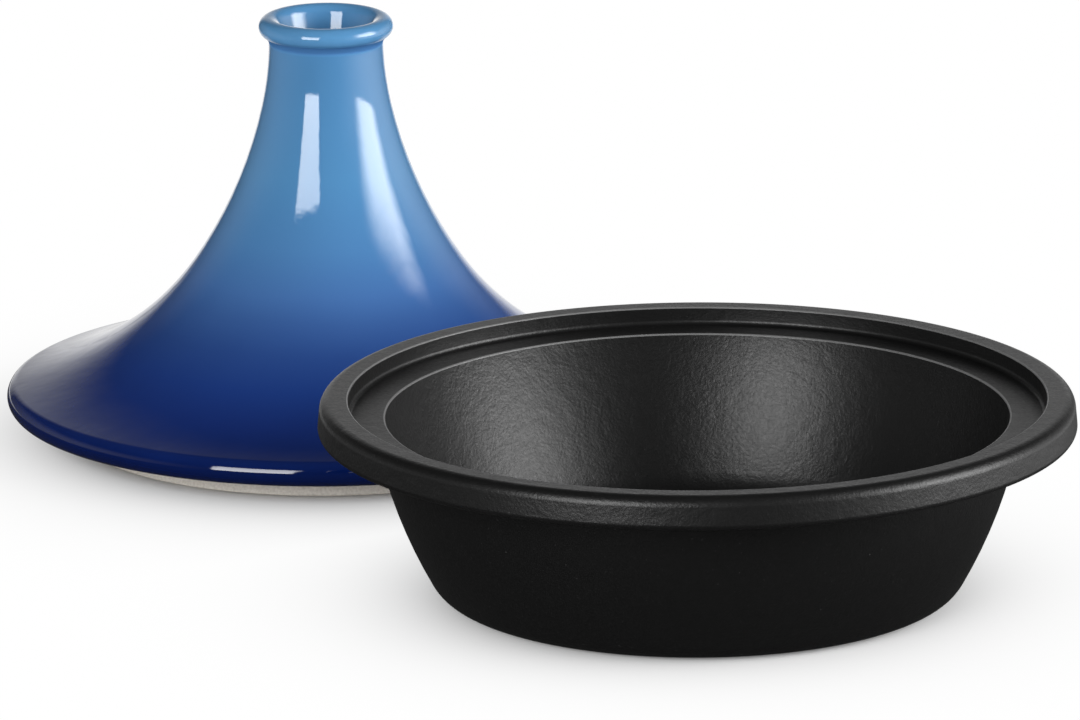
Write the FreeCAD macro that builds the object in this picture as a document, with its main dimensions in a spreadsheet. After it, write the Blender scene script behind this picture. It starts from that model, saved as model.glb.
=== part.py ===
import FreeCAD, Part
import Sketcher
import math
import os
from collections import namedtuple

# Tagine pot in two pieces: a cast iron base, and a stoneware lid that stands beside it on its foot.
# The base axis is the origin, +Z is up, and both pieces stand on the plane Z = 0.

# Driving sizes, in millimetres and degrees
SIZES = {
    # Base: bowl, ledge and rim, from the bowl's edge outwards
    "bowl_radius": 133.6,
    "ledge_width": 15.8,
    "rim_land": 11.9,
    "rim_taper": 1.3,
    "base_height": 86.0,
    "ledge_depth": 7.9,
    "rim_height": 14.5,
    # Base: wall and floor
    "floor_radius": 108.0,
    "heel_width": 2.3,
    "iron_wall": 4.5,
    "iron_floor": 5.5,
    "wall_bow_radius": 210.0,
    # Base: roundings
    "bottom_corner_round": 16.0,
    "bowl_corner_round": 30.0,
    "rim_top_round": 5.0,
    "rim_lower_round": 2.5,
    "rim_root_round": 5.0,
    "ledge_root_round": 2.0,
    "edge_break": 0.8,
    # Lid: how it sits in the base
    "lid_clearance": 4.2,
    "foot_clearance": 18.1,
    "brim_lift": 11.5,
    # Lid: outer form, from the top down
    "lid_height": 190.5,
    "bead_radius": 4.6,
    "neck_radius": 25.5,
    "neck_flare_radius": 143.0,
    "neck_flare_angle": 12.4,
    "cone_flare_radius": 206.0,
    "cone_flare_angle": 22.2,
    "brim_edge_radius": 5.9,
    # Lid: hollow, cup and foot
    "lid_wall": 7.0,
    "cup_depth": 38.0,
    "cup_bottom_radius": 13.0,
    "cup_floor": 8.0,
    "foot_width": 8.0,
    "foot_height": 16.0,
    # Lid: roundings
    "bead_crease_round": 2.5,
    "cup_corner_round": 10.0,
    "hollow_top_round": 6.0,
    "foot_edge_round": 1.2,
    "foot_root_round": 3.0,
    # Where the lid stands: free gap between the two pieces, and its bearing from +Y towards -X
    "stand_gap": 4.4,
    "stand_bearing": 31.2,
}

# Points of a sketch curve, in the sketcher's order after the curve itself
_, START, END, CENTRE = range(4)
# Axes of a sketch, in the sketcher's order below its first curve
_, H_AXIS, V_AXIS = range(0, -3, -1)
# How closely a ring is found by its radius and height
RING_TOLERANCE = 0.01

Size = namedtuple("Size", "value text")


def size(*names):
    """Sum of named sizes, as a number and as an expression; a leading minus takes one away."""
    value = 0.0
    text = ""
    for name in names:
        sign = "-" if name.startswith("-") else "+"
        alias = name.lstrip("-")
        value += SIZES[alias] if sign == "+" else -SIZES[alias]
        text += " %s Sizes.%s" % (sign, alias)
    return Size(value, text.lstrip(" +"))


def make_sheet(doc):
    sheet = doc.addObject("Spreadsheet::Sheet", "Sizes")
    for row, (alias, value) in enumerate(SIZES.items(), start=1):
        sheet.set("A%d" % row, alias)
        sheet.set("B%d" % row, str(value))
        sheet.setAlias("B%d" % row, alias)
    doc.recompute()
    return sheet


def on_circle(centre, radius, angle):
    """Point of a circle in the section plane, with the angle in radians."""
    return (centre[0] + radius * math.cos(angle), centre[1] + radius * math.sin(angle))


class Section:
    """Half section of a turned piece: sketch X is the radius and sketch Y is the height."""

    def __init__(self, body, name):
        self.body = body
        self.sketch = body.newObject("Sketcher::SketchObject", name)
        plane = [f for f in body.Origin.OriginFeatures if f.Role == "XZ_Plane"][0]
        self.sketch.AttachmentSupport = [(plane, "")]
        self.sketch.MapMode = "FlatFace"

    def line(self, start, end):
        points = [FreeCAD.Vector(x, y, 0) for x, y in (start, end)]
        return self.sketch.addGeometry(Part.LineSegment(*points), False)

    def arc(self, centre, radius, start_angle, end_angle):
        circle = Part.Circle(FreeCAD.Vector(centre[0], centre[1], 0), FreeCAD.Vector(0, 0, 1), radius)
        return self.sketch.addGeometry(Part.ArcOfCircle(circle, start_angle, end_angle), False)

    def rule(self, kind, *where):
        return self.sketch.addConstraint(Sketcher.Constraint(kind, *where))

    def hold(self, kind, *where, to, unit=""):
        """Constrain a measure to a size of the sheet."""
        value = math.radians(to.value) if unit else to.value
        index = self.rule(kind, *where, value)
        text = "(%s) * 1 %s" % (to.text, unit) if unit else to.text
        self.sketch.setExpression("Constraints[%d]" % index, text)

    def pin(self, curve, point, radius=None, height=None):
        """Set a point's radius and height; a measure left out stays free."""
        if radius is not None:
            self.hold("DistanceX", curve, point, to=radius)
        if height is not None:
            self.hold("DistanceY", curve, point, to=height)

    def turn(self):
        """Revolve the section about the height axis."""
        revolution = self.body.newObject("PartDesign::Revolution", self.sketch.Name + "_turned")
        revolution.Profile = self.sketch
        revolution.ReferenceAxis = (self.sketch, ["V_Axis"])
        revolution.Angle = 360.0
        self.body.Document.recompute()
        if not self.sketch.FullyConstrained:
            raise RuntimeError(self.sketch.Name + " is not fully constrained")
        return revolution


def ring_name(feature, radius, height):
    """Name of the circular edge of a turned piece at this radius and height."""
    for number, edge in enumerate(feature.Shape.Edges, start=1):
        if isinstance(edge.Curve, Part.Circle):
            off = max(abs(edge.Curve.Radius - radius), abs(edge.Curve.Center.z - height))
            if off < RING_TOLERANCE:
                return "Edge%d" % number
    raise RuntimeError("no ring at radius %.3f and height %.3f" % (radius, height))


def round_rings(body, name, rings, amount):
    """Round off the rings, each given as (radius, height), of a body's last feature."""
    base = body.Tip
    edges = [ring_name(base, radius, height) for radius, height in rings]
    fillet = body.newObject("PartDesign::Fillet", name)
    fillet.Base = (base, edges)
    fillet.setExpression("Radius", size(amount).text)
    body.Document.recompute()
    return fillet


def make_base(doc):
    """Cast iron bowl with a stepped rim: the ledge inside the rim carries the lid."""
    body = doc.addObject("PartDesign::Body", "base")
    body.Label = "base"
    section = Section(body, "base_section")

    floor = size("iron_floor")
    top = size("base_height")
    ledge = size("base_height", "-ledge_depth")
    rim_bottom = size("base_height", "-rim_height")
    bowl_foot = size("floor_radius")
    bowl_edge = size("bowl_radius")
    rim_inside = size("bowl_radius", "ledge_width")
    rim_top_edge = size("bowl_radius", "ledge_width", "rim_land")
    rim_outside = size("bowl_radius", "ledge_width", "rim_land", "rim_taper")
    wall_top = size("bowl_radius", "iron_wall")
    wall_foot = size("floor_radius", "heel_width")
    on_axis = Size(0.0, "0")
    on_ground = Size(0.0, "0")

    # The section runs from the axis over the floor, up the bowl, over the rim and down outside
    corners = [
        (on_axis, floor), (bowl_foot, floor), (bowl_edge, ledge), (rim_inside, ledge),
        (rim_inside, top), (rim_top_edge, top), (rim_outside, rim_bottom), (wall_top, rim_bottom),
        (wall_foot, on_ground), (on_axis, on_ground),
    ]
    bowed = {
        (bowl_foot, floor): size("wall_bow_radius", "-iron_wall"),
        (wall_top, rim_bottom): size("wall_bow_radius"),
    }
    curves = []
    for number, start in enumerate(corners):
        end = corners[(number + 1) % len(corners)]
        ends = [(r.value, z.value) for r, z in (start, end)]
        if start in bowed:
            curves.append(bowed_wall(section, ends, bowed[start]))
        else:
            curves.append((section.line(*ends), START, END))
    for number, (curve, start, end) in enumerate(curves):
        following, following_start, _ = curves[(number + 1) % len(curves)]
        section.rule("Coincident", curve, end, following, following_start)
        radius, height = corners[number]
        if radius is on_axis:
            section.rule("PointOnObject", curve, start, V_AXIS)
        else:
            section.pin(curve, start, radius=radius)
        if height is on_ground:
            section.rule("PointOnObject", curve, start, H_AXIS)
        else:
            section.pin(curve, start, height=height)
    section.turn()

    bottom = 0.0
    round_rings(body, "base_bottom_corner", [(wall_foot.value, bottom)], "bottom_corner_round")
    round_rings(body, "bowl_corner", [(bowl_foot.value, floor.value)], "bowl_corner_round")
    round_rings(body, "rim_root", [(wall_top.value, rim_bottom.value)], "rim_root_round")
    round_rings(body, "rim_lower_edge", [(rim_outside.value, rim_bottom.value)], "rim_lower_round")
    round_rings(body, "rim_top_edge", [(rim_top_edge.value, top.value)], "rim_top_round")
    round_rings(body, "ledge_root", [(rim_inside.value, ledge.value)], "ledge_root_round")
    sharp_rings = [(rim_inside.value, top.value), (bowl_edge.value, ledge.value)]
    round_rings(body, "broken_edges", sharp_rings, "edge_break")
    return body


def bowed_wall(section, ends, radius):
    """Wall arc that swells outwards between two points; gives the curve and its two end names."""
    (r1, z1), (r2, z2) = ends
    chord = math.hypot(r2 - r1, z2 - z1)
    reach = math.sqrt(radius.value ** 2 - (chord / 2) ** 2) / chord
    rises = 1 if z2 > z1 else -1
    centre = ((r1 + r2) / 2 - rises * reach * (z2 - z1), (z1 + z2) / 2 + rises * reach * (r2 - r1))
    angles = [math.atan2(z - centre[1], r - centre[0]) for r, z in ends]
    curve = section.arc(centre, radius.value, min(angles), max(angles))
    section.hold("Radius", curve, to=radius)
    return (curve, START, END) if rises > 0 else (curve, END, START)


def make_lid(doc):
    """Stoneware lid: beaded cup at the top, trumpet flare, round-edged brim and an inset foot ring."""
    body = doc.addObject("PartDesign::Body", "lid")
    body.Label = "lid"
    section = Section(body, "lid_section")

    bead = size("bead_radius")
    bead_height = size("lid_height", "-bead_radius")
    neck = size("neck_radius")
    cup_floor = size("lid_height", "-cup_depth")
    cup_bottom = size("cup_bottom_radius")
    hollow_top = size("lid_height", "-cup_depth", "-cup_floor")
    neck_flare = size("neck_flare_radius")
    cone_flare = size("cone_flare_radius")
    edge = size("brim_edge_radius")
    edge_centre_radius = size("bowl_radius", "ledge_width", "-lid_clearance", "-brim_edge_radius")
    edge_centre_height = size("brim_lift", "brim_edge_radius")
    foot_outside = size("bowl_radius", "-foot_clearance")
    foot_inside = size("bowl_radius", "-foot_clearance", "-foot_width")
    foot_root = size("foot_height")
    wall = size("lid_wall")

    # The cup's wall leaves the bead smoothly and narrows down to the cup's floor
    bead_centre = (neck.value, bead_height.value)
    cup_corner = (cup_bottom.value, cup_floor.value)
    run, rise = bead_centre[0] - cup_corner[0], bead_centre[1] - cup_corner[1]
    cup_lean = math.atan2(rise, run) + math.asin(bead.value / math.hypot(run, rise))
    bead_end_angle = cup_lean + math.pi / 2
    bead_end = on_circle(bead_centre, bead.value, bead_end_angle)

    # Three concave arcs follow each other smoothly from the neck down to the brim's round edge
    neck_foot = (neck.value, bead_height.value - bead.value)
    neck_turn = math.radians(SIZES["neck_flare_angle"])
    cone_turn = neck_turn + math.radians(SIZES["cone_flare_angle"])
    neck_centre = (neck_foot[0] + neck_flare.value, neck_foot[1])
    flare_top = on_circle(neck_centre, neck_flare.value, math.pi + neck_turn)
    cone_centre = on_circle(flare_top, cone_flare.value, neck_turn)
    flare_middle = on_circle(cone_centre, cone_flare.value, math.pi + cone_turn)
    edge_centre = (edge_centre_radius.value, edge_centre_height.value)
    brim_flare = tangent_radius(flare_middle, cone_turn, edge_centre, edge.value)
    brim_centre = on_circle(flare_middle, brim_flare, cone_turn)
    brim_turn = math.atan2(brim_centre[1] - edge_centre[1], brim_centre[0] - edge_centre[0])
    flare_end = on_circle(edge_centre, edge.value, brim_turn)

    # The underside leaves the round edge smoothly and rises to the foot
    root = (foot_outside.value, foot_root.value)
    span = math.hypot(edge_centre[0] - root[0], edge_centre[1] - root[1])
    tilt = math.asin(edge.value / span) - math.atan2(edge_centre[1] - root[1], edge_centre[0] - root[0])
    edge_end_angle = -math.pi / 2 - tilt
    edge_end = on_circle(edge_centre, edge.value, edge_end_angle)

    # The hollow keeps the wall's thickness under the two lower arcs
    hollow_brim = brim_flare + wall.value
    hollow_cone = cone_flare.value + wall.value
    foot_turn = math.acos((brim_centre[0] - foot_inside.value) / hollow_brim)
    top_turn = math.asin((cone_centre[1] - hollow_top.value) / hollow_cone)
    hollow_foot = on_circle(brim_centre, hollow_brim, math.pi + foot_turn)
    hollow_head = on_circle(cone_centre, hollow_cone, math.pi + top_turn)

    cup_bottom_line = section.line((0, cup_floor.value), cup_corner)
    cup_wall_line = section.line(cup_corner, bead_end)
    bead_arc = section.arc(bead_centre, bead.value, -math.pi / 2, bead_end_angle)
    neck_arc = section.arc(neck_centre, neck_flare.value, math.pi, math.pi + neck_turn)
    cone_arc = section.arc(cone_centre, cone_flare.value, math.pi + neck_turn, math.pi + cone_turn)
    brim_arc = section.arc(brim_centre, brim_flare, math.pi + cone_turn, math.pi + brim_turn)
    edge_arc = section.arc(edge_centre, edge.value, edge_end_angle, brim_turn)
    underside_line = section.line(edge_end, root)
    foot_outer_line = section.line(root, (foot_outside.value, 0))
    foot_line = section.line((foot_outside.value, 0), (foot_inside.value, 0))
    foot_inner_line = section.line((foot_inside.value, 0), hollow_foot)
    hollow_brim_arc = section.arc(brim_centre, hollow_brim, math.pi + cone_turn, math.pi + foot_turn)
    hollow_cone_arc = section.arc(cone_centre, hollow_cone, math.pi + top_turn, math.pi + cone_turn)
    hollow_top_line = section.line(hollow_head, (0, hollow_top.value))
    axis_line = section.line((0, hollow_top.value), (0, cup_floor.value))

    # Corners and smooth joints, in order round the section
    joints = [
        ("Coincident", axis_line, END, cup_bottom_line, START),
        ("Coincident", cup_bottom_line, END, cup_wall_line, START),
        ("Tangent", cup_wall_line, END, bead_arc, END),
        ("Coincident", bead_arc, START, neck_arc, START),
        ("Tangent", neck_arc, END, cone_arc, START),
        ("Tangent", cone_arc, END, brim_arc, START),
        ("Tangent", brim_arc, END, edge_arc, END),
        ("Tangent", edge_arc, START, underside_line, START),
        ("Coincident", underside_line, END, foot_outer_line, START),
        ("Coincident", foot_outer_line, END, foot_line, START),
        ("Coincident", foot_line, END, foot_inner_line, START),
        ("Coincident", foot_inner_line, END, hollow_brim_arc, END),
        ("Tangent", hollow_brim_arc, START, hollow_cone_arc, END),
        ("Coincident", hollow_cone_arc, START, hollow_top_line, START),
        ("Coincident", hollow_top_line, END, axis_line, START),
    ]
    for joint in joints:
        section.rule(*joint)

    section.rule("PointOnObject", axis_line, START, V_AXIS)
    section.rule("PointOnObject", axis_line, END, V_AXIS)
    section.pin(axis_line, START, height=hollow_top)
    section.pin(axis_line, END, height=cup_floor)
    for level in (cup_bottom_line, foot_line, hollow_top_line):
        section.rule("Horizontal", level)
    for upright in (foot_outer_line, foot_inner_line):
        section.rule("Vertical", upright)

    section.pin(cup_bottom_line, END, radius=cup_bottom)
    section.pin(bead_arc, CENTRE, neck, bead_height)
    section.hold("Radius", bead_arc, to=bead)
    section.rule("Vertical", bead_arc, CENTRE, bead_arc, START)

    section.rule("Horizontal", neck_arc, CENTRE, neck_arc, START)
    section.hold("Radius", neck_arc, to=neck_flare)
    section.hold("Angle", neck_arc, to=size("neck_flare_angle"), unit="deg")
    section.hold("Radius", cone_arc, to=cone_flare)
    section.hold("Angle", cone_arc, to=size("cone_flare_angle"), unit="deg")
    section.pin(edge_arc, CENTRE, edge_centre_radius, edge_centre_height)
    section.hold("Radius", edge_arc, to=edge)

    section.pin(underside_line, END, foot_outside, foot_root)
    section.rule("PointOnObject", foot_line, START, H_AXIS)
    section.pin(foot_line, END, radius=foot_inside)
    section.rule("Coincident", brim_arc, CENTRE, hollow_brim_arc, CENTRE)
    section.rule("Coincident", cone_arc, CENTRE, hollow_cone_arc, CENTRE)
    section.hold("Distance", cone_arc, END, hollow_cone_arc, END, to=wall)
    section.turn()

    foot_rings = [(foot_outside.value, 0.0), (foot_inside.value, 0.0)]
    round_rings(body, "bead_crease", [neck_foot], "bead_crease_round")
    round_rings(body, "cup_corner", [cup_corner], "cup_corner_round")
    round_rings(body, "hollow_corner", [hollow_head], "hollow_top_round")
    round_rings(body, "foot_edges", foot_rings, "foot_edge_round")
    round_rings(body, "foot_root", [root], "foot_root_round")

    stand_beside(body)
    return body


def tangent_radius(start, turn, centre, radius):
    """Radius of the arc that leaves start at this turn and touches a circle from outside."""
    across = (math.cos(turn), math.sin(turn))
    away = (start[0] - centre[0], start[1] - centre[1])
    along = away[0] * across[0] + away[1] * across[1]
    return (away[0] ** 2 + away[1] ** 2 - radius ** 2) / (2 * (radius - along))


def stand_beside(lid):
    """Stand the lid on the ground behind the base and to its left, clear of the rim."""
    reach = size("bowl_radius", "ledge_width", "rim_land", "rim_taper",
                 "bowl_radius", "ledge_width", "-lid_clearance", "stand_gap")
    bearing = "(Sizes.stand_bearing * 1 deg)"
    lid.setExpression(".Placement.Base.x", "-(%s) * sin(%s)" % (reach.text, bearing))
    lid.setExpression(".Placement.Base.y", "(%s) * cos(%s)" % (reach.text, bearing))


def check(doc, pieces):
    for item in doc.Objects:
        if "Invalid" in item.State or "Error" in item.State:
            raise RuntimeError("%s failed: %s" % (item.Name, item.State))
    for piece in pieces:
        shape = piece.Shape
        if shape.isNull() or not shape.isValid() or len(shape.Solids) != 1:
            raise RuntimeError(piece.Label + " is not one valid solid")


def main():
    os.makedirs("parts", exist_ok=True)
    doc = FreeCAD.newDocument("tagine_pot")
    make_sheet(doc)
    pieces = [make_base(doc), make_lid(doc)]
    doc.recompute()
    check(doc, pieces)
    for piece in pieces:
        piece.Shape.exportStep("parts/%s.step" % piece.Label)
        box = piece.Shape.optimalBoundingBox(False)
        print("%s: volume %.0f mm3, x %.2f to %.2f, y %.2f to %.2f, z %.2f to %.2f" % (
            piece.Label, piece.Shape.Volume, box.XMin, box.XMax, box.YMin, box.YMax, box.ZMin, box.ZMax))


main()
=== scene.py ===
"""Looks of a tagine pot: a black enamelled iron base, and a blue glazed stoneware lid stood beside it.

Lengths are in metres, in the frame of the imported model: Z is up, and the photograph looks along +Y.
The sections of the two turned pieces are in millimetres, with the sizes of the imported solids.
"""
import math
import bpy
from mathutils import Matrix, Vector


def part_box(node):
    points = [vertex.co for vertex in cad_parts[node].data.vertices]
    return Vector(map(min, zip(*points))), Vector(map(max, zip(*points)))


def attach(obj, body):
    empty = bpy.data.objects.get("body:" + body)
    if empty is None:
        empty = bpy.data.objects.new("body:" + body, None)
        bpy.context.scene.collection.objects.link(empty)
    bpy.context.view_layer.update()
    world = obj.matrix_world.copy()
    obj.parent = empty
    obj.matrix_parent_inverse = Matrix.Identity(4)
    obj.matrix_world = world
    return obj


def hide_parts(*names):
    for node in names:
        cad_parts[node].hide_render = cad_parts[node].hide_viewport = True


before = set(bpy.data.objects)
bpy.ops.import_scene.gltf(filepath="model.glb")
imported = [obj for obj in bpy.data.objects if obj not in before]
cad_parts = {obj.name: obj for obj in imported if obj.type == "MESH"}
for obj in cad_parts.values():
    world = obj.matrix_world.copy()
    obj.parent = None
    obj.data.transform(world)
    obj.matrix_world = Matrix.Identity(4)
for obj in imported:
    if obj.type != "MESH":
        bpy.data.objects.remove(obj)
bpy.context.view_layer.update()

from types import SimpleNamespace

import bpy
from mathutils import Matrix, Vector

MM = 0.001

# Section of the base
BASE = SimpleNamespace(
    bowl_radius=133.6, ledge_width=15.8, rim_land=11.9, rim_taper=1.3,
    height=86.0, ledge_depth=7.9, rim_height=14.5,
    floor_radius=108.0, heel_width=2.3, wall=4.5, floor=5.5, wall_bow=210.0,
    bottom_round=16.0, bowl_round=30.0, rim_top_round=5.0, rim_lower_round=2.5,
    rim_root_round=5.0, ledge_root_round=2.0, edge_break=0.8,
)

# Section of the lid
LID = SimpleNamespace(
    height=190.5, bead=4.6, neck=25.5, neck_flare=143.0, neck_angle=12.4,
    cone_flare=206.0, cone_angle=22.2, edge=5.9, edge_reach=145.2, brim_lift=11.5,
    wall=7.0, cup_depth=38.0, cup_bottom=13.0, cup_floor=8.0,
    foot_outside=115.5, foot_width=8.0, foot_height=16.0,
    crease_round=2.5, cup_round=10.0, hollow_top_round=6.0, hollow_foot_round=4.0,
    foot_edge_round=1.2, foot_root_round=3.0,
)

# Colours of the glaze, from the brim's lower edge up to the bead: height in millimetres, then colour
GLAZE_STOPS = [
    (13, (0.0004, 0.0045, 0.046)),
    (21, (0.0014, 0.0095, 0.080)),
    (26, (0.0054, 0.022, 0.150)),
    (34, (0.0085, 0.031, 0.190)),
    (44, (0.0130, 0.047, 0.238)),
    (56, (0.0240, 0.072, 0.270)),
    (68, (0.043, 0.118, 0.345)),
    (78, (0.063, 0.169, 0.427)),
    (96, (0.080, 0.233, 0.495)),
    (125, (0.090, 0.276, 0.534)),
    (170, (0.085, 0.256, 0.500)),
    (181, (0.086, 0.258, 0.502)),
    (186, (0.104, 0.300, 0.560)),
]

# Glaze: clouds shift its colours up or down a little, and its surface has slow waves
GLAZE_TOP = 0.2
GLAZE_CLOUDS, GLAZE_CLOUD_DETAIL = 22.0, 3.0
GLAZE_RUN = 0.004
GLAZE_WAVES, GLAZE_WAVE_STRENGTH, GLAZE_WAVE_DEPTH = 28.0, 0.5, 0.0008
GLAZE_ROUGHNESS = 0.035
GLAZE_IOR = 1.6
GLAZE_MIRRORED = 0.5

# Painted shade in the crease under the bead: the glaze is coloured as dark as the glaze this much lower
# down, and its glint is taken out. The crease's place is its radius and height in millimetres
CREASE_SHADE_DROP = 0.09
CREASE_PLACE = (26.0, 181.2)
CREASE_INSIDE, CREASE_OUTSIDE = 0.0022, 0.0042

# Bare clay of the foot and pale glaze of the hollow: colours from the lows of their noise to its highs
CLAY_SAND, CLAY_STRENGTH, CLAY_DEPTH = 900.0, 0.4, 0.0004
CLAY_STOPS = [(0.32, (0.70, 0.65, 0.58)), (0.68, (0.86, 0.81, 0.74))]
CLAY_ROUGHNESS = 0.8
LINING_SPECKS = 260.0
LINING_STOPS = [(0.32, (0.68, 0.63, 0.54)), (0.68, (0.75, 0.71, 0.63))]
LINING_ROUGHNESS = 0.12

# Enamel: its colours go from the grain's lows to its highs, then to a painted highlight along two edges
ENAMEL_STOPS = [(0.32, (0.0050,) * 3), (0.70, (0.0070,) * 3), (1.0, (0.18,) * 3)]
# Painted highlight along the two edges: full this close to an edge, gone this far from it
EDGE_HIGHLIGHT_INSIDE, EDGE_HIGHLIGHT_OUTSIDE = 0.0005, 0.0011
CAST_GRAIN, CAST_LUMPS = 800.0, 170.0
CAST_RELIEF, CAST_STRENGTH, CAST_DEPTH = 1.7, 0.25, 0.0005
GRAIN_LOW, GRAIN_HIGH = 0.3, 0.7
ENAMEL_ROUGH_LOW, ENAMEL_ROUGH_HIGH = 0.42, 0.34
ENAMEL_MIRRORED = 0.45

# Detail of the finishes' noise, where a finish doesn't set its own
NOISE_DETAIL = 4.0

# Fineness of the turned meshes
TURN_STEPS = 288
ARC_STEP = math.radians(2.5)
ROUND_STEP = math.radians(6.0)
BOX_TOLERANCE = 0.0005
SAME_PLACE = 0.001

# Camera, fitted to the photograph's frame of 1080 by 720
CAMERA_PLACE = (-0.0671, -4.9483, 1.4272)
CAMERA_TILT = 14.989
CAMERA_ROLL = -0.388
CAMERA_LENS = 400.0
CAMERA_SENSOR = 36.0
CAMERA_REACH = 100.0

# Floor: white, with the pieces' own shadows close to where they stand; a painted reflection of a dark
# table on its front
FLOOR_RADIUS = 9.0
FLOOR_SIDES = 128
FLOOR_DROP = 0.0004
FLOOR_COLOUR = (0.86, 0.86, 0.86, 1.0)
FLOOR_ROUGHNESS = 0.9
BASE_STAND = (0.0, 0.0, 0.0)
BASE_STAND_RADIUS = 0.100
LID_STAND = (-0.1617, 0.2670, 0.0)
LID_STAND_RADIUS = 0.1155
SHADOW_FADE = 0.026
# Painted reflection: reflections see the floor as a dark table around the pieces
PAINTED_TABLE_REFLECTION = 0.04
TABLE_MIDDLE = (-0.10, 0.18, 0.0)
TABLE_INSIDE, TABLE_OUTSIDE = 0.30, 0.90
# Painted reflection of a white sheet close behind the pieces
SHEET_MIDDLE = -0.16
SHEET_INSIDE, SHEET_OUTSIDE = 0.22, 0.50
SHEET_FRONT, SHEET_BACK = 0.36, 0.52

# Softboxes, aimed at a point between the pieces: azimuth is from the camera's side, to the right
LAMP_TARGET = (-0.10, 0.18, 0.09)
LAMPS = [
    dict(name="softbox_left", azimuth=-27.75, elevation=19.2, distance=3.0, width=1.67, height=1.69,
         watts=88.0, fades=(0.10, 0.10, 0.05, 0.10), slant=0.0, top=0.68),
    dict(name="softbox_right", azimuth=75.0, elevation=24.8, distance=3.0, width=3.0, height=2.49,
         watts=212.0, fades=(0.39, 0.32, 0.05, 0.53), slant=0.12, top=1.0),
]

# Surroundings: even fill light, white to the eye; mirrored, a white sweep fades up into a dark room,
# and the two sides glow
FILL_LIGHT = 0.10
ROOM_MIRRORED = 0.03
SWEEP_MIRRORED = 1.05
SWEEP_START = 0.3
SWEEP_TOP = 0.85
SWEEP_FADE = 1.5
SWEEP_INSIDE, SWEEP_OUTSIDE = 0.16, 0.46
GLOWS = [((1.0, 0.0, 0.0), 1.6), ((-0.98, 0.17, 0.0), 0.36)]
GLOW_FALL = 3.0
GLOW_LOW, GLOW_HIGH = 0.15, 0.55


# Outlines: lists of (point, direction), where a point is (radius, height) in millimetres
def line(start, end):
    start, end = Vector(start), Vector(end)
    along = (end - start).normalized()
    return [(start, along), (end, along)]


def on_circle(centre, radius, angle):
    return Vector((centre[0] + radius * math.cos(angle), centre[1] + radius * math.sin(angle)))


def arc(centre, radius, start, end):
    """Arc from one angle to another, in radians."""
    count = max(2, math.ceil(abs(end - start) / ARC_STEP))
    sense = 1 if end > start else -1
    angles = [start + (end - start) * i / count for i in range(count + 1)]
    return [(on_circle(centre, radius, a), sense * Vector((-math.sin(a), math.cos(a)))) for a in angles]


def bowed(start, end, radius):
    """Wall arc that swells away from the axis between two points."""
    (r1, z1), (r2, z2) = start, end
    chord = math.hypot(r2 - r1, z2 - z1)
    rises = 1 if z2 > z1 else -1
    reach = rises * math.sqrt(radius ** 2 - (chord / 2) ** 2) / chord
    centre = ((r1 + r2) / 2 - reach * (z2 - z1), (z1 + z2) / 2 + reach * (r2 - r1))
    angles = [math.atan2(z - centre[1], r - centre[0]) for r, z in (start, end)]
    return arc(centre, radius, *angles)


def backwards(edge):
    return [(point, -along) for point, along in reversed(edge)]


def trimmed(edge, length):
    """The edge without the first length of it."""
    for i in range(len(edge) - 1):
        (p, d), (q, e) = edge[i], edge[i + 1]
        step = (q - p).length
        if step > length:
            share = length / step
            return [(p.lerp(q, share), d.lerp(e, share).normalized())] + edge[i + 1:]
        length -= step
    raise ValueError("a rounding is too large for its edge")


def rounding(start, end, radius):
    """Rounded corner between two places of an outline."""
    (p, d), (q, e) = start, end
    turn = d.angle(e)
    handle = 4 / 3 * math.tan(turn / 4) * radius
    a, b = p + d * handle, q - e * handle
    count = max(3, math.ceil(turn / ROUND_STEP))
    made = []
    for i in range(count + 1):
        t = i / count
        s = 1 - t
        point = s ** 3 * p + 3 * s * s * t * a + 3 * s * t * t * b + t ** 3 * q
        along = s * s * (a - p) + 2 * s * t * (b - a) + t * t * (q - b)
        made.append((point, along.normalized()))
    return made


def outline(parts):
    """Chains (edge, finish, rounding to the next edge) into a list of (point, direction, finish)."""
    edges = [edge for edge, _, _ in parts]
    corners = []
    for i in range(len(parts) - 1):
        radius = parts[i][2]
        corner = []
        if radius:
            turn = edges[i][-1][1].angle(edges[i + 1][0][1])
            reach = radius * math.tan(turn / 2)
            edges[i] = backwards(trimmed(backwards(edges[i]), reach))
            edges[i + 1] = trimmed(edges[i + 1], reach)
            corner = rounding(edges[i][-1], edges[i + 1][0], radius)[1:-1]
        corners.append(corner)
    corners.append([])
    made = []
    for (_, finish, _), edge, corner in zip(parts, edges, corners):
        smooth = made and (made[-1][0] - edge[0][0]).length < SAME_PLACE
        places = (edge[1:] if smooth else edge) + corner
        if smooth:
            made[-1] = (*made[-1][:2], finish)
        made += [(point, along, finish) for point, along in places]
    return made


def base_outline():
    """From the bowl's floor on the axis, up the bowl, over the rim, down outside and back to the axis."""
    b = BASE
    ledge = b.height - b.ledge_depth
    rim_bottom = b.height - b.rim_height
    rim_inside = b.bowl_radius + b.ledge_width
    rim_top = rim_inside + b.rim_land
    rim_outside = rim_top + b.rim_taper
    wall_top = b.bowl_radius + b.wall
    wall_foot = b.floor_radius + b.heel_width
    bowl_foot, bowl_edge = (b.floor_radius, b.floor), (b.bowl_radius, ledge)
    return outline([
        (line((0, b.floor), bowl_foot), 0, b.bowl_round),
        (bowed(bowl_foot, bowl_edge, b.wall_bow - b.wall), 0, b.edge_break),
        (line(bowl_edge, (rim_inside, ledge)), 0, b.ledge_root_round),
        (line((rim_inside, ledge), (rim_inside, b.height)), 0, b.edge_break),
        (line((rim_inside, b.height), (rim_top, b.height)), 0, b.rim_top_round),
        (line((rim_top, b.height), (rim_outside, rim_bottom)), 0, b.rim_lower_round),
        (line((rim_outside, rim_bottom), (wall_top, rim_bottom)), 0, b.rim_root_round),
        (bowed((wall_top, rim_bottom), (wall_foot, 0), b.wall_bow), 0, b.bottom_round),
        (line((wall_foot, 0), (0, 0)), 0, 0),
    ])


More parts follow.
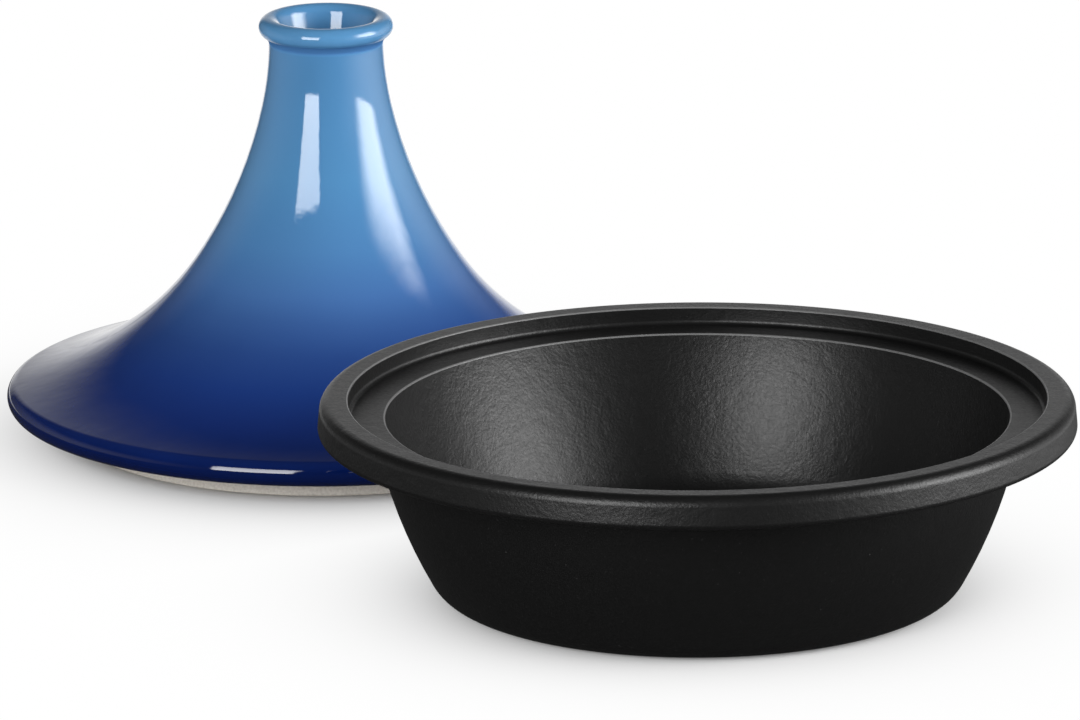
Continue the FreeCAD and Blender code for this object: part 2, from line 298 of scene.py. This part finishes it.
def lid_outline():
    """From the cup's floor on the axis, over the bead, down the flare, round the brim, up the hollow."""
    g = LID
    bead_height = g.height - g.bead
    cup_floor = g.height - g.cup_depth
    hollow_top = cup_floor - g.cup_floor
    foot_inside = g.foot_outside - g.foot_width
    neck_turn = math.radians(g.neck_angle)
    cone_turn = neck_turn + math.radians(g.cone_angle)

    # The cup's wall leaves the bead smoothly and narrows down to the cup's floor
    bead_centre = Vector((g.neck, bead_height))
    cup_corner = Vector((g.cup_bottom, cup_floor))
    to_bead = bead_centre - cup_corner
    bead_end = math.atan2(to_bead.y, to_bead.x) + math.asin(g.bead / to_bead.length) + math.pi / 2

    # Three arcs, each smooth to the next, lead from the neck to the brim's round edge
    neck_centre = (g.neck + g.neck_flare, bead_height - g.bead)
    flare_top = on_circle(neck_centre, g.neck_flare, math.pi + neck_turn)
    cone_centre = on_circle(flare_top, g.cone_flare, neck_turn)
    flare_middle = on_circle(cone_centre, g.cone_flare, math.pi + cone_turn)
    edge_centre = Vector((g.edge_reach - g.edge, g.brim_lift + g.edge))
    away = flare_middle - edge_centre
    along = away.dot(Vector((math.cos(cone_turn), math.sin(cone_turn))))
    brim_flare = (away.length_squared - g.edge ** 2) / (2 * (g.edge - along))
    brim_centre = on_circle(flare_middle, brim_flare, cone_turn)
    to_brim = brim_centre - edge_centre
    brim_turn = math.atan2(to_brim.y, to_brim.x)

    # The underside leaves the round edge smoothly and rises to the foot
    root = Vector((g.foot_outside, g.foot_height))
    from_root = edge_centre - root
    underside_tilt = math.asin(g.edge / from_root.length) - math.atan2(from_root.y, from_root.x)
    edge_end = -math.pi / 2 - underside_tilt
    edge_foot = on_circle(edge_centre, g.edge, edge_end)

    # The hollow keeps the wall's thickness under the two lower arcs
    hollow_brim = brim_flare + g.wall
    hollow_cone = g.cone_flare + g.wall
    foot_turn = math.acos((brim_centre.x - foot_inside) / hollow_brim)
    top_turn = math.asin((cone_centre.y - hollow_top) / hollow_cone)
    hollow_foot = on_circle(brim_centre, hollow_brim, math.pi + foot_turn)
    hollow_head = on_circle(cone_centre, hollow_cone, math.pi + top_turn)

    blue, bare, lining = range(3)
    return outline([
        (line((0, cup_floor), cup_corner), blue, g.cup_round),
        (line(cup_corner, on_circle(bead_centre, g.bead, bead_end)), blue, 0),
        (arc(bead_centre, g.bead, bead_end, -math.pi / 2), blue, g.crease_round),
        (arc(neck_centre, g.neck_flare, math.pi, math.pi + neck_turn), blue, 0),
        (arc(cone_centre, g.cone_flare, math.pi + neck_turn, math.pi + cone_turn), blue, 0),
        (arc(brim_centre, brim_flare, math.pi + cone_turn, math.pi + brim_turn), blue, 0),
        (arc(edge_centre, g.edge, brim_turn, edge_end), blue, 0),
        (line(edge_foot, root), blue, g.foot_root_round),
        (line(root, (g.foot_outside, 0)), bare, g.foot_edge_round),
        (line((g.foot_outside, 0), (foot_inside, 0)), bare, g.foot_edge_round),
        (line((foot_inside, 0), hollow_foot), lining, g.hollow_foot_round),
        (arc(brim_centre, hollow_brim, math.pi + foot_turn, math.pi + cone_turn), lining, 0),
        (arc(cone_centre, hollow_cone, math.pi + cone_turn, math.pi + top_turn), lining,
         g.hollow_top_round),
        (line(hollow_head, (0, hollow_top)), lining, 0),
    ])


def turned(name, node, places, materials):
    """Turns an outline about the middle of a CAD node, and lets the new piece stand for that node."""
    low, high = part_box(node)
    middle = (low + high) / 2
    angles = [2 * math.pi * i / TURN_STEPS for i in range(TURN_STEPS)]
    spokes = [(math.cos(a), math.sin(a)) for a in angles]
    points, normals, rings = [], [], []
    for (radius, height), (across, up), _ in places:
        on_axis = radius < SAME_PLACE
        first = len(points)
        for c, s in spokes[:1] if on_axis else spokes:
            points.append((middle.x + radius * MM * c, middle.y + radius * MM * s, height * MM))
            normals.append((0, 0, across) if on_axis else (-up * c, -up * s, across))
        rings.append([first] * TURN_STEPS if on_axis else list(range(first, first + TURN_STEPS)))
    faces, finishes = [], []
    for i in range(len(rings) - 1):
        for j in range(TURN_STEPS):
            k = (j + 1) % TURN_STEPS
            corners = [rings[i][j], rings[i + 1][j], rings[i + 1][k], rings[i][k]]
            faces.append(list(dict.fromkeys(corners)))
            finishes.append(places[i][2])

    mesh = bpy.data.meshes.new(name)
    mesh.from_pydata(points, [], faces)
    mesh.polygons.foreach_set("material_index", finishes)
    mesh.shade_smooth()
    mesh.normals_split_custom_set_from_vertices(normals)
    for material in materials:
        mesh.materials.append(material)
    piece = bpy.data.objects.new(name, mesh)
    bpy.context.scene.collection.objects.link(piece)
    heights = [p[2] for p in points]
    reach = max(p[0] for p in points)
    off = max(abs(reach - high.x), abs(max(heights) - high.z), abs(min(heights) - low.z))
    if off > BOX_TOLERANCE:
        raise ValueError("%s is %.2f mm off its CAD node" % (name, off / MM))
    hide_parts(node)
    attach(piece, node)
    return piece


def add(tree, kind, inputs=None, **settings):
    """Adds a node. Inputs maps a socket to its value, or to the output that feeds it."""
    made = tree.nodes.new(kind)
    for name, value in settings.items():
        setattr(made, name, value)
    for socket, value in (inputs or {}).items():
        if isinstance(value, bpy.types.NodeSocket):
            tree.links.new(value, made.inputs[socket])
        else:
            made.inputs[socket].default_value = value
    return made


def blend(tree, value, start, end, low, high, kind="SMOOTHSTEP"):
    """Adds a ramp from low to high as the value goes from start to end, and returns its output."""
    inputs = {"Value": value, "From Min": start, "From Max": end, "To Min": low, "To Max": high}
    return add(tree, "ShaderNodeMapRange", inputs, interpolation_type=kind).outputs["Result"]


def sums(tree, operation, *values):
    """Adds a maths node, and returns its output."""
    return add(tree, "ShaderNodeMath", dict(enumerate(values)), operation=operation).outputs[0]


def new_material(name):
    """Makes an empty node material with a Principled shader, and returns it with its tree and shader."""
    material = bpy.data.materials.new(name)
    material.use_nodes = True
    tree = material.node_tree
    tree.nodes.clear()
    shader = add(tree, "ShaderNodeBsdfPrincipled")
    add(tree, "ShaderNodeOutputMaterial", {"Surface": shader.outputs["BSDF"]})
    return material, tree, shader


def colour_by(tree, shader, value, stops):
    """Colours a shader by a value from 0 to 1; stops are (value, colour), from the lowest value up."""
    ramp = add(tree, "ShaderNodeValToRGB", {"Fac": value})
    elements = ramp.color_ramp.elements
    while len(elements) < len(stops):
        elements.new(0.5)
    for element, (position, colour) in zip(elements, stops):
        element.position = position
        element.color = (*colour, 1.0)
    tree.links.new(ramp.outputs["Color"], shader.inputs["Base Color"])


def noise(tree, scale, detail=NOISE_DETAIL):
    place = add(tree, "ShaderNodeTexCoord").outputs["Object"]
    inputs = {"Vector": place, "Scale": scale, "Detail": detail}
    return add(tree, "ShaderNodeTexNoise", inputs).outputs["Fac"]


def roughen(tree, shader, height, strength, depth):
    bump = add(tree, "ShaderNodeBump", {"Height": height, "Strength": strength, "Distance": depth})
    tree.links.new(bump.outputs["Normal"], shader.inputs["Normal"])


def ring_distances(tree, middle, rings):
    """How far a place is from level rings about an upright axis, each (radius, height) in millimetres."""
    place = add(tree, "ShaderNodeTexCoord").outputs["Object"]
    outwards = add(tree, "ShaderNodeVectorMath", {0: place, 1: middle}, operation="SUBTRACT").outputs[0]
    parts = add(tree, "ShaderNodeSeparateXYZ", {0: outwards}).outputs
    level = add(tree, "ShaderNodeCombineXYZ", {"X": parts["X"], "Y": parts["Y"]}).outputs[0]
    radius = add(tree, "ShaderNodeVectorMath", {0: level}, operation="LENGTH").outputs["Value"]
    section = add(tree, "ShaderNodeCombineXYZ", {"X": radius, "Y": parts["Z"]}).outputs[0]
    distances = []
    for ring_radius, ring_height in rings:
        there = (ring_radius * MM, ring_height * MM, 0.0)
        away = add(tree, "ShaderNodeVectorMath", {0: section, 1: there}, operation="DISTANCE")
        distances.append(away.outputs["Value"])
    return distances


def blue_glaze():
    """Glossy glaze, sky blue at the neck and navy at the brim."""
    material, tree, shader = new_material("blue_glaze")
    place = add(tree, "ShaderNodeTexCoord").outputs["Object"]
    height = add(tree, "ShaderNodeSeparateXYZ", {0: place}).outputs["Z"]
    cloud = noise(tree, GLAZE_CLOUDS, GLAZE_CLOUD_DETAIL)
    uneven = sums(tree, "MULTIPLY_ADD", cloud, GLAZE_RUN, height)
    crease, = ring_distances(tree, LID_STAND, [CREASE_PLACE])
    # Painted shade in the crease under the bead: its glaze is coloured as if lower down, so darker
    painted_shade = blend(tree, crease, CREASE_INSIDE, CREASE_OUTSIDE, CREASE_SHADE_DROP, 0.0)
    level = sums(tree, "SUBTRACT", uneven, painted_shade)
    part = blend(tree, level, 0.0, GLAZE_TOP, 0.0, 1.0, "LINEAR")
    colour_by(tree, shader, part, [(stop * MM / GLAZE_TOP, colour) for stop, colour in GLAZE_STOPS])
    roughen(tree, shader, noise(tree, GLAZE_WAVES), GLAZE_WAVE_STRENGTH, GLAZE_WAVE_DEPTH)
    shader.inputs["Roughness"].default_value = GLAZE_ROUGHNESS
    shader.inputs["IOR"].default_value = GLAZE_IOR
    # The painted shade in the crease also takes out the glaze's glint there
    mirrored = blend(tree, crease, CREASE_INSIDE, CREASE_OUTSIDE, 0.0, GLAZE_MIRRORED)
    tree.links.new(mirrored, shader.inputs["Specular IOR Level"])
    return material


def bare_stoneware():
    """Unglazed fired clay of the foot, matt and sandy."""
    material, tree, shader = new_material("bare_stoneware")
    sand = noise(tree, CLAY_SAND)
    colour_by(tree, shader, sand, CLAY_STOPS)
    roughen(tree, shader, sand, CLAY_STRENGTH, CLAY_DEPTH)
    shader.inputs["Roughness"].default_value = CLAY_ROUGHNESS
    return material


def lining_glaze():
    """Pale glaze of the lid's hollow, faintly speckled."""
    material, tree, shader = new_material("lining_glaze")
    colour_by(tree, shader, noise(tree, LINING_SPECKS), LINING_STOPS)
    shader.inputs["Roughness"].default_value = LINING_ROUGHNESS
    return material


def black_enamel():
    """Satin black enamel over the grain and lumps of the casting, with a painted highlight along two
    edges.
    """
    material, tree, shader = new_material("black_enamel")
    grain = noise(tree, CAST_GRAIN)
    relief = sums(tree, "MULTIPLY_ADD", noise(tree, CAST_LUMPS), CAST_RELIEF, grain)
    roughen(tree, shader, relief, CAST_STRENGTH, CAST_DEPTH)

    # Painted highlight: light lines along the bowl's edge and the rim's inner edge
    bowl_edge = (BASE.bowl_radius, BASE.height - BASE.ledge_depth)
    rim_edge = (BASE.bowl_radius + BASE.ledge_width, BASE.height)
    gaps = ring_distances(tree, BASE_STAND, [bowl_edge, rim_edge])
    painted_edge_highlight = blend(tree, sums(tree, "MINIMUM", *gaps), EDGE_HIGHLIGHT_INSIDE, EDGE_HIGHLIGHT_OUTSIDE, 1.0, 0.0)
    colour_by(tree, shader, sums(tree, "MAXIMUM", grain, painted_edge_highlight), ENAMEL_STOPS)
    rough = blend(tree, grain, GRAIN_LOW, GRAIN_HIGH, ENAMEL_ROUGH_LOW, ENAMEL_ROUGH_HIGH, "LINEAR")
    tree.links.new(rough, shader.inputs["Roughness"])
    shader.inputs["Specular IOR Level"].default_value = ENAMEL_MIRRORED
    return material


def surroundings(tree, towards):
    """Level mirrored in a direction: white behind, a glow at each side, and dark in front and above."""
    parts = add(tree, "ShaderNodeSeparateXYZ", {0: towards}).outputs
    aside = sums(tree, "ABSOLUTE", parts["X"])
    behind = sums(
        tree, "MULTIPLY", blend(tree, aside, SWEEP_INSIDE, SWEEP_OUTSIDE, SWEEP_MIRRORED, 0.0),
        blend(tree, parts["Y"], 0.0, SWEEP_START, 0.0, 1.0))
    fade = sums(tree, "POWER", blend(tree, parts["Z"], 0.0, SWEEP_TOP, 1.0, 0.0, "LINEAR"), SWEEP_FADE)
    level = sums(tree, "MAXIMUM", sums(tree, "MULTIPLY", behind, fade), ROOM_MIRRORED)
    for middle, strength in GLOWS:
        near = add(tree, "ShaderNodeVectorMath", {0: towards, 1: middle}, operation="DOT_PRODUCT")
        share = sums(tree, "POWER", sums(tree, "MAXIMUM", near.outputs["Value"], 0.0), GLOW_FALL)
        height = blend(tree, parts["Z"], GLOW_LOW, GLOW_HIGH, strength, 0.0)
        level = sums(tree, "MAXIMUM", level, sums(tree, "MULTIPLY", share, height))
    return level


def make_floor():
    bpy.ops.mesh.primitive_circle_add(
        vertices=FLOOR_SIDES, radius=FLOOR_RADIUS, fill_type="NGON", location=(0, 0, -FLOOR_DROP))
    floor = bpy.context.object
    floor.name = "floor"
    material, tree, shader = new_material("floor")
    shader.inputs["Base Color"].default_value = FLOOR_COLOUR
    shader.inputs["Roughness"].default_value = FLOOR_ROUGHNESS
    shader.inputs["Specular IOR Level"].default_value = 0.0
    path = add(tree, "ShaderNodeLightPath").outputs
    geometry = add(tree, "ShaderNodeNewGeometry").outputs

    # What is seen turns from the lit floor into plain white, away from the pieces
    gaps = []
    for stand, radius in ((BASE_STAND, BASE_STAND_RADIUS), (LID_STAND, LID_STAND_RADIUS)):
        ends = {0: geometry["Position"], 1: stand}
        away = add(tree, "ShaderNodeVectorMath", ends, operation="DISTANCE")
        gaps.append(sums(tree, "SUBTRACT", away.outputs["Value"], radius))
    gap = sums(tree, "MAXIMUM", sums(tree, "MINIMUM", *gaps), 0.0)
    lit = sums(tree, "EXPONENT", sums(tree, "DIVIDE", gap, -SHADOW_FADE))
    white = sums(tree, "SUBTRACT", 1.0, lit)
    looked_at = sums(tree, "ADD", path["Is Camera Ray"], path["Is Transmission Ray"])
    share = sums(tree, "MAXIMUM", sums(tree, "MULTIPLY", looked_at, white), path["Is Glossy Ray"])

    # Painted reflection: what is mirrored of the floor is dark around the pieces, white close behind
    # them, then like the surroundings
    ends = {0: geometry["Position"], 1: TABLE_MIDDLE}
    outwards = add(tree, "ShaderNodeVectorMath", ends, operation="SUBTRACT").outputs[0]
    distance = add(tree, "ShaderNodeVectorMath", {0: outwards}, operation="LENGTH").outputs["Value"]
    direction = add(tree, "ShaderNodeVectorMath", {0: outwards}, operation="NORMALIZE").outputs[0]
    around = blend(
        tree, distance, TABLE_INSIDE, TABLE_OUTSIDE, PAINTED_TABLE_REFLECTION, surroundings(tree, direction))
    across = add(tree, "ShaderNodeSeparateXYZ", {0: geometry["Position"]}).outputs
    aside = sums(tree, "ABSOLUTE", sums(tree, "SUBTRACT", across["X"], SHEET_MIDDLE))
    painted_sheet = sums(
        tree, "MULTIPLY", blend(tree, across["Y"], SHEET_FRONT, SHEET_BACK, 0.0, 1.0),
        blend(tree, aside, SHEET_INSIDE, SHEET_OUTSIDE, 1.0, 0.0))
    mirrored = sums(tree, "MAXIMUM", around, painted_sheet)
    level = blend(tree, path["Is Glossy Ray"], 0.0, 1.0, 1.0, mirrored, "LINEAR")
    glow = add(tree, "ShaderNodeEmission", {"Strength": level})
    top = add(tree, "ShaderNodeMixShader", {0: share, 1: shader.outputs[0], 2: glow.outputs[0]})

    # The floor is clear from below
    clear = add(tree, "ShaderNodeBsdfTransparent")
    faces = {0: geometry["Backfacing"], 1: top.outputs[0], 2: clear.outputs[0]}
    both = add(tree, "ShaderNodeMixShader", faces)
    tree.links.new(both.outputs[0], tree.nodes["Material Output"].inputs["Surface"])
    floor.data.materials.append(material)


def make_room():
    world = bpy.data.worlds.new("room")
    bpy.context.scene.world = world
    world.use_nodes = True
    tree = world.node_tree
    path = add(tree, "ShaderNodeLightPath").outputs
    mirrored = surroundings(tree, add(tree, "ShaderNodeTexCoord").outputs["Generated"])
    bounced = sums(tree, "ADD", path["Is Glossy Ray"], path["Is Transmission Ray"])
    level = blend(tree, bounced, 0.0, 1.0, FILL_LIGHT, mirrored, "LINEAR")
    seen = blend(tree, path["Is Camera Ray"], 0.0, 1.0, level, 1.0, "LINEAR")
    background = tree.nodes["Background"]
    background.inputs["Color"].default_value = (1.0, 1.0, 1.0, 1.0)
    tree.links.new(seen, background.inputs["Strength"])


def make_lamp(name, azimuth, elevation, distance, width, height, watts, fades, slant, top):
    """Softbox; fades are the shares of its width and height over which it fades: left, right, low, high.

    Slant lowers the high fade towards the left. Top is the level at the top; at the bottom it is 1.
    """
    turn, lift = math.radians(azimuth), math.radians(elevation)
    away = Vector((math.sin(turn) * math.cos(lift), -math.cos(turn) * math.cos(lift), math.sin(lift)))
    data = bpy.data.lights.new(name, "AREA")
    data.shape = "RECTANGLE"
    data.size = width
    data.size_y = height
    data.energy = watts
    data.use_nodes = True
    tree = data.node_tree
    across = add(tree, "ShaderNodeNewGeometry").outputs["Parametric"]
    sides = add(tree, "ShaderNodeSeparateXYZ", {0: across})
    left, right, low, high = fades
    x, y = sides.outputs["X"], sides.outputs["Y"]
    raised = sums(tree, "MULTIPLY_ADD", sums(tree, "SUBTRACT", 1.0, x), slant, y)
    level = blend(tree, y, 0.0, 1.0, 1.0, top, "LINEAR")
    edges = ((x, 0.0, left), (x, 1.0, 1.0 - right), (y, 0.0, low), (raised, 1.0, 1.0 - high))
    for side, start, end in edges:
        level = sums(tree, "MULTIPLY", level, blend(tree, side, start, end, 0.0, 1.0))
    tree.links.new(level, tree.nodes["Emission"].inputs["Strength"])
    lamp = bpy.data.objects.new(name, data)
    lamp.location = Vector(LAMP_TARGET) + away * distance
    lamp.rotation_euler = away.to_track_quat("Z", "Y").to_euler()
    bpy.context.scene.collection.objects.link(lamp)


def make_camera():
    data = bpy.data.cameras.new("camera")
    data.lens = CAMERA_LENS
    data.sensor_width = CAMERA_SENSOR
    data.sensor_fit = "HORIZONTAL"
    data.clip_end = CAMERA_REACH
    camera = bpy.data.objects.new("camera", data)
    tilt = Matrix.Rotation(math.radians(90.0 - CAMERA_TILT), 4, "X")
    roll = Matrix.Rotation(math.radians(CAMERA_ROLL), 4, "Z")
    camera.matrix_world = Matrix.Translation(CAMERA_PLACE) @ tilt @ roll
    bpy.context.scene.collection.objects.link(camera)
    bpy.context.scene.camera = camera


bpy.context.scene.view_settings.view_transform = "Standard"
turned("base_casting", "base", base_outline(), [black_enamel()])
lid_finishes = [blue_glaze(), bare_stoneware(), lining_glaze()]
lid = turned("lid_stoneware", "lid", lid_outline(), lid_finishes)
# As in the photograph, the lid isn't mirrored in the base or in its own brim
lid.visible_glossy = False
make_floor()
make_room()
for lamp in LAMPS:
    make_lamp(**lamp)
make_camera()
